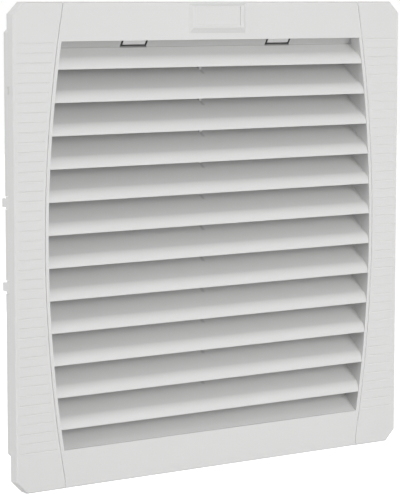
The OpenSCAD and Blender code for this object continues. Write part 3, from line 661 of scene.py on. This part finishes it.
def build_fibre_tree():
    group, given, result = new_group(
        "stray_fibres", "GeometryNodeTree",
        [("Geometry", "NodeSocketGeometry", None), ("Per square metre", "NodeSocketFloat", 40000.0),
         ("Length", "NodeSocketFloat", 0.01), ("Thickness", "NodeSocketFloat", 0.0001),
         ("Seed", "NodeSocketInt", 4), ("Finish", "NodeSocketMaterial", None)],
        [("Geometry", "NodeSocketGeometry")])
    link = group.links.new
    scatter = add_node(group, "GeometryNodeDistributePointsOnFaces")
    link(given.outputs["Geometry"], scatter.inputs["Mesh"])
    link(given.outputs["Per square metre"], scatter.inputs["Density"])
    link(given.outputs["Seed"], scatter.inputs["Seed"])
    bend = add_node(group, "GeometryNodeCurveQuadraticBezier", {
        "Resolution": 5, "Start": (-0.5, 0, 0.0), "Middle": (0.0, 0.45, 0.05), "End": (0.5, 0, 0.0)})
    around = add_node(group, "FunctionNodeRandomValue", data_type="FLOAT_VECTOR")
    around.inputs[0].default_value = (-0.05, -0.05, 0)
    around.inputs[1].default_value = (0.05, 0.05, 2 * math.pi)
    link(given.outputs["Seed"], around.inputs["Seed"])
    turned = add_node(group, "FunctionNodeRotateRotation", rotation_space="LOCAL")
    link(scatter.outputs["Rotation"], turned.inputs["Rotation"])
    link(around.outputs[0], turned.inputs["Rotate By"])
    stretch = add_node(group, "FunctionNodeRandomValue", data_type="FLOAT")
    stretch.inputs[2].default_value = 0.4
    stretch.inputs[3].default_value = 1.0
    link(given.outputs["Seed"], stretch.inputs["Seed"])
    lay = add_node(group, "GeometryNodeInstanceOnPoints")
    link(scatter.outputs["Points"], lay.inputs["Points"])
    link(bend.outputs["Curve"], lay.inputs["Instance"])
    link(turned.outputs["Rotation"], lay.inputs["Rotation"])
    link(math_node(group, "MULTIPLY", stretch.outputs[1], given.outputs["Length"]), lay.inputs["Scale"])
    real = add_node(group, "GeometryNodeRealizeInstances")
    link(lay.outputs["Instances"], real.inputs["Geometry"])
    even = add_node(group, "GeometryNodeSetCurveRadius", {"Radius": 1.0})
    link(real.outputs["Geometry"], even.inputs["Curve"])
    section = add_node(group, "GeometryNodeCurvePrimitiveCircle", {"Resolution": 3})
    link(given.outputs["Thickness"], section.inputs["Radius"])
    tube = add_node(group, "GeometryNodeCurveToMesh", {"Fill Caps": True})
    link(even.outputs["Curve"], tube.inputs["Curve"])
    link(section.outputs["Curve"], tube.inputs["Profile Curve"])
    dress = add_node(group, "GeometryNodeSetMaterial")
    link(tube.outputs["Mesh"], dress.inputs["Geometry"])
    link(given.outputs["Finish"], dress.inputs["Material"])
    link(dress.outputs["Geometry"], result.inputs["Geometry"])
    return group


def grow(name, group, values, base_mesh):
    carrier = bpy.data.objects.new(name, base_mesh)
    bpy.context.collection.objects.link(carrier)
    modifier = carrier.modifiers.new("grow", "NODES")
    modifier.node_group = group
    for item in group.interface.items_tree:
        if item.in_out == "INPUT" and item.name in values:
            modifier[item.identifier] = values[item.name]
    evaluated = carrier.evaluated_get(bpy.context.evaluated_depsgraph_get())
    plain = bpy.data.meshes.new_from_object(evaluated)
    plain.name = name
    carrier.modifiers.clear()
    carrier.data = plain
    return carrier


fibres = grow("stray_fibres", build_fibre_tree(), {
    "Per square metre": fibre_density, "Length": fibre_long, "Thickness": fibre_thick, "Seed": 11,
    "Finish": finishes["mat_fibre"]}, felt.data.copy())
join_part(fibres, "base", "mat_fibre")

# %% [markdown]
# ## The foam seal
# A foam strip runs round the back of the flange and seals it on the panel. Foam has no sharp edges and is
# never quite straight, so its section is a rectangle with large roundings, drawn round the cut-cornered
# outline, and its points are shifted by a little smooth noise.

# %% Foam seal
tub_half = 145.5 * MM
tub_cut = 5.5 * MM
seal_gap = 3 * MM
seal_width = 7.5 * MM
foam_round = 1.1 * MM
foam_wave = 0.12 * MM
long_side = 50 * MM
long_steps = 90
cut_steps = 4


def cut_outline(out):
    half = tub_half + out
    cut = tub_cut + out * (2 - math.sqrt(2))
    corners = []
    for a, b in ((1, 1), (-1, 1), (-1, -1), (1, -1)):
        first = (a * half, b * (half - cut))
        second = (a * (half - cut), b * half)
        corners += [first, second] if a * b > 0 else [second, first]
    return corners


def seal_section(low_y, high_y):
    points = []
    inner = seal_gap + foam_wave + foam_round
    outer = seal_gap + seal_width - foam_wave - foam_round
    front = low_y + foam_round
    back = high_y - foam_wave - foam_round
    for out, y, start in ((outer, back, 0), (inner, back, 90), (inner, front, 180), (outer, front, 270)):
        for step in range(5):
            angle = math.radians(start + 22.5 * step)
            points.append((out + foam_round * math.cos(angle), y + foam_round * math.sin(angle)))
    return points


def build_seal():
    low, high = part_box("panel_gasket")
    mesh = bmesh.new()
    rings = []
    for out, y in seal_section(low.y, high.y):
        corners = cut_outline(out)
        ring = []
        for index, corner in enumerate(corners):
            after = corners[(index + 1) % len(corners)]
            count = long_steps if math.dist(corner, after) > long_side else cut_steps
            for step in range(count):
                t = step / count
                x = corner[0] + t * (after[0] - corner[0])
                z = corner[1] + t * (after[1] - corner[1])
                shift = foam_wave * noise.noise(Vector((x * 120, y * 40, z * 120)))
                ring.append(mesh.verts.new((x, y + shift * (y > 0), z)))
        rings.append(ring)
    for index, ring in enumerate(rings):
        after = rings[(index + 1) % len(rings)]
        for step in range(len(ring)):
            follow = (step + 1) % len(ring)
            mesh.faces.new((ring[step], ring[follow], after[follow], after[step]))
    bmesh.ops.recalc_face_normals(mesh, faces=mesh.faces)
    return mesh_piece("foam_seal", mesh, "seal_foam")


seal = build_seal()
join_part(seal, "base", "seal_foam", "panel_gasket")

# %% [markdown]
# ## The wire guard
# A finger guard is made of steel wire: rings of even spacing, spot-welded onto four arms whose outer ends are
# bent into eyes for the screws. All of it repeats round the axis, so one Geometry Nodes tree draws the rings
# from their index, one arm and its eye four times, and a small weld bead where a ring crosses an arm.

# %% Wire guard
guard_sizes = {
    "Rings": 5, "First ring": 24 * MM, "Ring step": 12 * MM, "Ring plane": 103.3 * MM, "Ring wire": 1.1 * MM,
    "Arms": 4, "Arm start": 21 * MM, "Arm end": 77.7 * MM, "Arm plane": 101.6 * MM, "Arm wire": 1.25 * MM,
    "Eye at": 81 * MM, "Eye radius": 3.4 * MM, "Eye plane": 101.2 * MM, "Eye wire": 1.15 * MM,
    "Weld": 1.5 * MM}


def build_guard_tree():
    numbers = [(name, "NodeSocketInt" if isinstance(value, int) else "NodeSocketFloat", value)
               for name, value in guard_sizes.items()]
    group, given, result = new_group(
        "wire_guard", "GeometryNodeTree",
        [("Geometry", "NodeSocketGeometry", None)] + numbers + [("Finish", "NodeSocketMaterial", None)],
        [("Geometry", "NodeSocketGeometry")])
    link = group.links.new
    size = given.outputs

    def point_at(x, y):
        spot = add_node(group, "ShaderNodeCombineXYZ")
        for socket, value in (("X", x), ("Y", y)):
            if value is not None:
                link(value, spot.inputs[socket])
        return spot.outputs["Vector"]

    def even_turns(count):
        index = add_node(group, "GeometryNodeInputIndex").outputs["Index"]
        turn = math_node(group, "DIVIDE", 2 * math.pi, count)
        angle = math_node(group, "MULTIPLY", math_node(group, "ADD", index, 0.5), turn)
        spin = add_node(group, "ShaderNodeCombineXYZ")
        link(angle, spin.inputs["Y"])
        return spin.outputs["Vector"]

    def ring_radius():
        index = add_node(group, "GeometryNodeInputIndex").outputs["Index"]
        out = math_node(group, "MULTIPLY", index, size["Ring step"])
        return math_node(group, "ADD", out, size["First ring"])

    def wire(curve, radius):
        even = add_node(group, "GeometryNodeSetCurveRadius", {"Radius": 1.0})
        link(curve, even.inputs["Curve"])
        section = add_node(group, "GeometryNodeCurvePrimitiveCircle", {"Resolution": 12})
        link(radius, section.inputs["Radius"])
        tube = add_node(group, "GeometryNodeCurveToMesh", {"Fill Caps": True})
        link(even.outputs["Curve"], tube.inputs["Curve"])
        link(section.outputs["Curve"], tube.inputs["Profile Curve"])
        return tube.outputs["Mesh"]

    def copies(shape, count, place=None, turns=None, scale=None):
        spots = add_node(group, "GeometryNodePoints")
        link(count, spots.inputs["Count"])
        if place is not None:
            link(place, spots.inputs["Position"])
        lay = add_node(group, "GeometryNodeInstanceOnPoints")
        link(spots.outputs["Points"], lay.inputs["Points"])
        link(shape, lay.inputs["Instance"])
        if turns is not None:
            link(turns, lay.inputs["Rotation"])
        if scale is not None:
            link(scale, lay.inputs["Scale"])
        real = add_node(group, "GeometryNodeRealizeInstances")
        link(lay.outputs["Instances"], real.inputs["Geometry"])
        return real.outputs["Geometry"]

    def upright_circle(sides):
        circle = add_node(group, "GeometryNodeCurvePrimitiveCircle", {"Resolution": sides, "Radius": 1.0})
        tip = add_node(group, "GeometryNodeTransform", {"Rotation": (math.pi / 2, 0, 0)})
        link(circle.outputs["Curve"], tip.inputs["Geometry"])
        return tip.outputs["Geometry"]

    ring_place = point_at(None, size["Ring plane"])
    rings = copies(upright_circle(96), size["Rings"], ring_place, scale=ring_radius())

    bar = add_node(group, "GeometryNodeCurvePrimitiveLine")
    link(point_at(size["Arm start"], size["Arm plane"]), bar.inputs["Start"])
    link(point_at(size["Arm end"], size["Arm plane"]), bar.inputs["End"])
    arms = copies(bar.outputs["Curve"], size["Arms"], turns=even_turns(size["Arms"]))

    eye = add_node(group, "GeometryNodeTransform")
    link(upright_circle(32), eye.inputs["Geometry"])
    link(point_at(size["Eye at"], size["Eye plane"]), eye.inputs["Translation"])
    link(size["Eye radius"], eye.inputs["Scale"])
    eyes = copies(eye.outputs["Geometry"], size["Arms"], turns=even_turns(size["Arms"]))

    bead = add_node(group, "GeometryNodeMeshIcoSphere", {"Subdivisions": 2})
    link(size["Weld"], bead.inputs["Radius"])
    middle = math_node(group, "DIVIDE", math_node(group, "ADD", size["Ring plane"], size["Arm plane"]), 2.0)
    row = copies(bead.outputs["Mesh"], size["Rings"], point_at(ring_radius(), middle))
    beads = copies(row, size["Arms"], turns=even_turns(size["Arms"]))

    whole = add_node(group, "GeometryNodeJoinGeometry")
    for curve, thickness in ((rings, "Ring wire"), (arms, "Arm wire"), (eyes, "Eye wire")):
        link(wire(curve, size[thickness]), whole.inputs["Geometry"])
    link(beads, whole.inputs["Geometry"])
    smooth = add_node(group, "GeometryNodeSetShadeSmooth")
    link(whole.outputs["Geometry"], smooth.inputs["Geometry"])
    dress = add_node(group, "GeometryNodeSetMaterial")
    link(smooth.outputs["Geometry"], dress.inputs["Geometry"])
    link(size["Finish"], dress.inputs["Material"])
    link(dress.outputs["Geometry"], result.inputs["Geometry"])
    return group


guard = grow("wire_guard", build_guard_tree(), {**guard_sizes, "Finish": finishes["guard_wire"]},
             bpy.data.meshes.new("guard_start"))
join_part(guard, "base", "guard_wire", "finger_guard")

# %% [markdown]
# ## The screws
# The hood and the fan are held by pan-head screws with a cross recess. For each of the two sizes one screw
# is turned as a lathe shape in mesh code, with the cross pressed into its dome. Geometry Nodes then sets a
# copy on every seat, each turned by its own seeded angle, since no two real screws stop alike.

# %% One screw
screw_sides = 48
dome_shares = (0.06, 0.13, 0.2, 0.27, 0.34, 0.41, 0.48, 0.55, 0.62, 0.7, 0.78, 0.86, 0.93, 0.97, 1.0)
cross_reach = 0.56
cross_width = 0.11
cross_wall = 0.05
cross_end = 0.18
cross_press = 0.6


def screw_profile(head_r, head_h, shank_r, length):
    rows = [(head_r * share, head_h * (1 - 0.34 * share ** 2.4)) for share in dome_shares]
    rows += [(head_r, head_h * 0.2), (head_r * 0.97, 0.0), (shank_r * 1.08, 0.0), (shank_r, -shank_r * 0.1)]
    rows += [(shank_r, -(length - shank_r)), (shank_r * 0.55, -length)]
    return rows


def cross_depth(x, z, head_r):
    along = max(abs(x), abs(z)) / head_r
    beside = min(abs(x), abs(z)) / head_r
    wall = max(0.0, min(1.0, (cross_width - beside) / cross_wall))
    end = max(0.0, min(1.0, (cross_reach - along) / cross_end))
    return wall * end


def build_screw(head_r, head_h, shank_r, length):
    mesh = bmesh.new()
    rings = []
    for radius, y in screw_profile(head_r, head_h, shank_r, length):
        ring = []
        for side in range(screw_sides):
            angle = 2 * math.pi * side / screw_sides
            x = radius * math.cos(angle)
            z = radius * math.sin(angle)
            press = cross_press * head_h * cross_depth(x, z, head_r) if y > head_h * 0.5 else 0.0
            ring.append(mesh.verts.new((x, y - press, z)))
        rings.append(ring)
    for ring, after in zip(rings, rings[1:]):
        for side in range(screw_sides):
            follow = (side + 1) % screw_sides
            mesh.faces.new((ring[side], ring[follow], after[follow], after[side]))
    mesh.faces.new(rings[0])
    mesh.faces.new(rings[-1])
    bmesh.ops.recalc_face_normals(mesh, faces=mesh.faces)
    return mesh


# %% Set the screws on their seats
def build_seat_tree():
    group, given, result = new_group(
        "set_screws", "GeometryNodeTree",
        [("Geometry", "NodeSocketGeometry", None), ("Screw", "NodeSocketObject", None),
         ("Seed", "NodeSocketInt", 1), ("Finish", "NodeSocketMaterial", None)],
        [("Geometry", "NodeSocketGeometry")])
    link = group.links.new
    shape = add_node(group, "GeometryNodeObjectInfo")
    link(given.outputs["Screw"], shape.inputs["Object"])
    stop = add_node(group, "FunctionNodeRandomValue", data_type="FLOAT_VECTOR")
    stop.inputs[0].default_value = (0, 0, 0)
    stop.inputs[1].default_value = (0, math.pi, 0)
    link(given.outputs["Seed"], stop.inputs["Seed"])
    lay = add_node(group, "GeometryNodeInstanceOnPoints")
    link(given.outputs["Geometry"], lay.inputs["Points"])
    link(shape.outputs["Geometry"], lay.inputs["Instance"])
    link(stop.outputs[0], lay.inputs["Rotation"])
    real = add_node(group, "GeometryNodeRealizeInstances")
    link(lay.outputs["Instances"], real.inputs["Geometry"])
    dress = add_node(group, "GeometryNodeSetMaterial")
    link(real.outputs["Geometry"], dress.inputs["Geometry"])
    link(given.outputs["Finish"], dress.inputs["Material"])
    link(dress.outputs["Geometry"], result.inputs["Geometry"])
    return group


def set_screws(name, reach, plane, seed, sizes, *nodes):
    pattern = mesh_piece(name + "_pattern", build_screw(*sizes), "bright_steel")
    points = bpy.data.meshes.new(name + "_seats")
    points.from_pydata([(a * reach, plane, b * reach) for a, b in seat_signs], [], [])
    screws = grow(name, seat_tree, {
        "Screw": pattern, "Seed": seed, "Finish": finishes["bright_steel"]}, points)
    bpy.data.objects.remove(pattern)
    join_part(screws, "base", "bright_steel", *nodes)


seat_tree = build_seat_tree()
seat_signs = ((-1, -1), (1, -1), (1, 1), (-1, 1))
hood_seat = 137 * MM
hood_plane = 31.5 * MM
hood_screw = (2.9 * MM, 2.2 * MM, 1.5 * MM, 9 * MM)
fan_seat = 81 * MM * math.sqrt(0.5)
fan_plane = 102.4 * MM
fan_screw = (3.9 * MM, 2.8 * MM, 1.95 * MM, 60.4 * MM)
set_screws("pan_screws_hood", hood_seat, hood_plane, 3, hood_screw, "hood_screws")
set_screws("pan_screws_fan", fan_seat, fan_plane, 8, fan_screw, "fan_screws")
